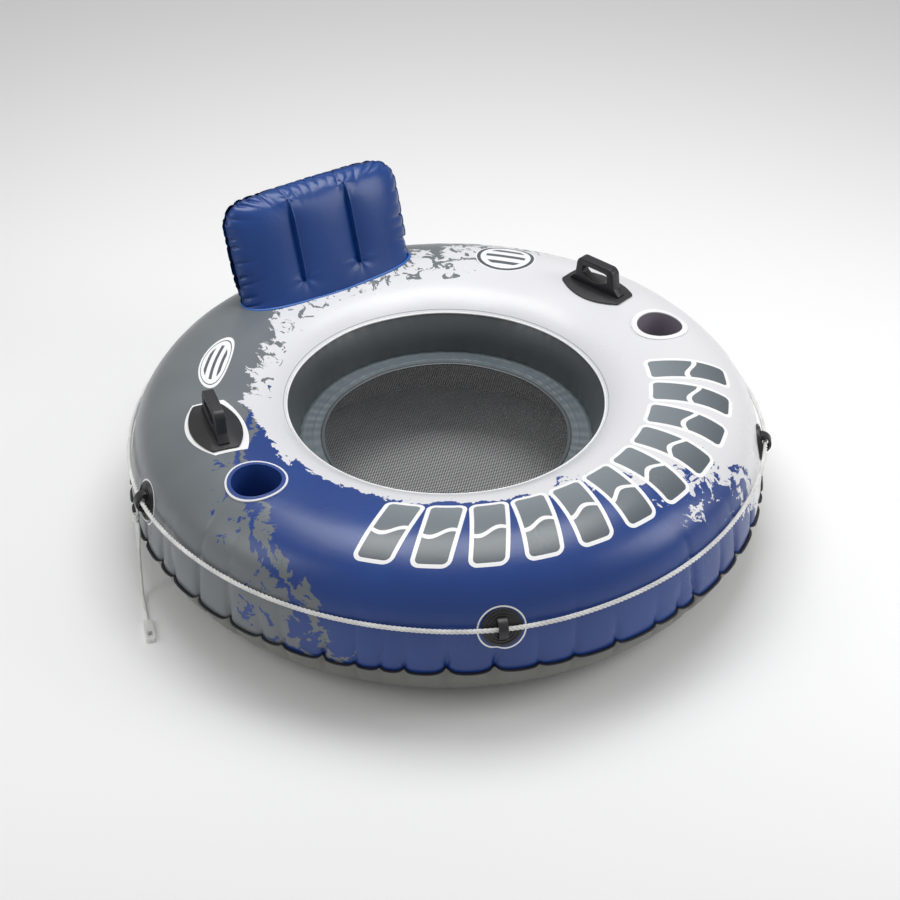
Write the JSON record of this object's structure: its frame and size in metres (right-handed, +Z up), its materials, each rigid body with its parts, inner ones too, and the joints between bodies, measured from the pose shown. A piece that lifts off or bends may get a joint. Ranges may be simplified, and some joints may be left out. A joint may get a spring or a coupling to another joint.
{
  "type": "towable tube",
  "caption": "Inflated ring for one rider, with a mesh seat, a leaning backrest, grab handles, cup holders and a grab rope threaded round it through moulded connectors.",
  "frame": {"origin": "on the ground under the centre of the ring, midway between the furthest points of the tube and its fittings", "axes": "+Z up; -Y towards the rider's feet and +Y towards the backrest; +X to the rider's left when seated facing -Y"},
  "size_m": [1.4374, 1.3626, 0.5559],
  "materials": {
    "printed_vinyl": "calendered PVC film, printed, semi-gloss",
    "grey_vinyl": "calendered PVC film, semi-gloss",
    "graphite_vinyl": "calendered PVC film, satin",
    "blue_vinyl": "calendered PVC film, semi-gloss",
    "white_vinyl": "calendered PVC film, semi-gloss",
    "cup_vinyl": "PVC film, satin",
    "seat_mesh": "knitted polyester mesh",
    "black_moulding": "moulded soft PVC, satin",
    "white_rope": "twisted polyolefin rope",
    "white_plastic": "moulded PVC and polyethylene"
  },
  "bodies": {
    "tube": {"backrest_base": "blue_vinyl", "bottom_panel": "grey_vinyl", "bulkhead_front": "grey_vinyl", "bulkhead_rear": "grey_vinyl", "connector_disc_1": "black_moulding", "connector_disc_2": "black_moulding", "connector_disc_3": "black_moulding", "connector_disc_4": "black_moulding", "connector_disc_5": "black_moulding", "connector_loop_1": "black_moulding", "connector_loop_2": "black_moulding", "connector_loop_3": "black_moulding", "connector_loop_4": "black_moulding", "connector_loop_5": "black_moulding", "cup_floor_left": "cup_vinyl", "cup_floor_right": "cup_vinyl", "cup_pocket_left": "cup_vinyl", "cup_pocket_right": "cup_vinyl", "cup_rim_left": "white_vinyl", "cup_rim_right": "white_vinyl", "grab_rope": "white_rope", "handle_grip_left": "black_moulding", "handle_grip_right": "black_moulding", "handle_patch_left": "black_moulding", "handle_patch_right": "black_moulding", "inner_wall": "graphite_vinyl", "lip_weld": "graphite_vinyl", "mesh_band": "graphite_vinyl", "mesh_floor": "seat_mesh", "mesh_hem": "graphite_vinyl", "outer_seam": "grey_vinyl", "rope_tail": "white_rope", "tail_clip": "white_plastic", "tail_knot": "white_rope", "top_panel": "printed_vinyl", "top_panel_cup_left": "printed_vinyl", "top_panel_cup_right": "printed_vinyl", "valve_flap_left": "white_plastic", "valve_flap_right": "white_plastic", "valve_seat_left": "white_plastic", "valve_seat_right": "white_plastic"},
    "backrest": {"backrest_edge": "blue_vinyl", "backrest_front": "blue_vinyl", "backrest_rear": "blue_vinyl", "backrest_web_left": "blue_vinyl", "backrest_web_right": "blue_vinyl", "valve_seat_back": "white_plastic", "valve_flap_back": "white_plastic"},
    "cap_left": {"valve_cap_left": "white_plastic"},
    "cap_right": {"valve_cap_right": "white_plastic"},
    "cap_back": {"valve_cap_back": "white_plastic"}
  },
  "joints": [
    {"name": "backrest_lean", "type": "hinge", "parent": "tube", "child": "backrest", "pos_m": [0, 0.53, 0.33], "axis": [-1, 0, 0], "range_deg": [0, 12], "stiffness_Nm_per_rad": 14},
    {"name": "valve_cap_left_flip", "type": "hinge", "parent": "tube", "child": "cap_left", "pos_m": [0.32861, 0.59283, 0.18645], "axis": [0.8746, -0.4848, 0], "range_deg": [0, 110]},
    {"name": "valve_cap_right_flip", "type": "hinge", "parent": "tube", "child": "cap_right", "pos_m": [-0.3491, 0.581, 0.18645], "axis": [0.8572, 0.515, 0], "range_deg": [0, 110]},
    {"name": "valve_cap_back_flip", "type": "hinge", "parent": "backrest", "child": "cap_back", "pos_m": [0, 0.58853, 0.4364], "axis": [1, 0, 0], "range_deg": [0, 110]}
  ]
}
